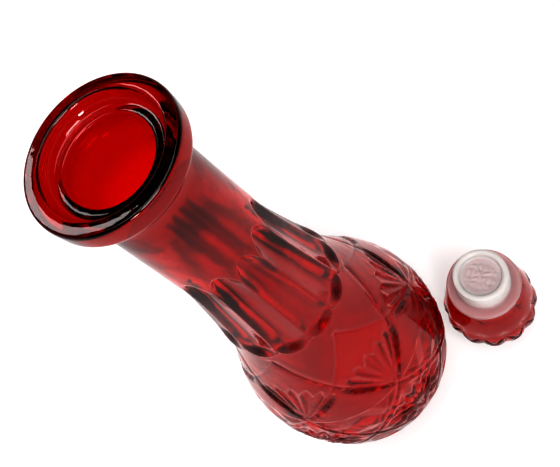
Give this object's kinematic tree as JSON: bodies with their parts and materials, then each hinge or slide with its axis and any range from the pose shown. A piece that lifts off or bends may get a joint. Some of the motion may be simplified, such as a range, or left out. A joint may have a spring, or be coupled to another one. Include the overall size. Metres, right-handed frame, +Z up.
{
  "type": "glass decanter bottle",
  "caption": "Ruby pressed-glass decanter bottle: flared mouth, fluted neck, diamond-patterned pear body, with a lobed ball stopper on a milky plastic plug",
  "frame": {"origin": "centre of the bottle's flat foot, on the table", "axes": "+Z up along the bottle's axis, out of its mouth; +X from the bottle towards the stopper that stands beside it"},
  "size_m": [0.1249, 0.085, 0.2178],
  "materials": {
    "ruby_glass": "clear ruby red pressed glass, fire polished",
    "stopper_glass": "clear ruby red pressed glass, fire polished",
    "plug_plastic": "milky translucent moulded polyethylene, satin"
  },
  "bodies": {
    "bottle": {"bottle": "ruby_glass"},
    "stopper": {"stopper_head": "stopper_glass"},
    "plug": {"stopper_plug": "plug_plastic"}
  },
  "joints": [
    {"name": "stopper_lift", "type": "slide", "parent": "bottle", "child": "stopper", "axis": [0, 0, 1], "range_m": [0, 0.24]},
    {"name": "plug_pull", "type": "slide", "parent": "stopper", "child": "plug", "axis": [0, 0, 1], "range_m": [0, 0.016]}
  ]
}
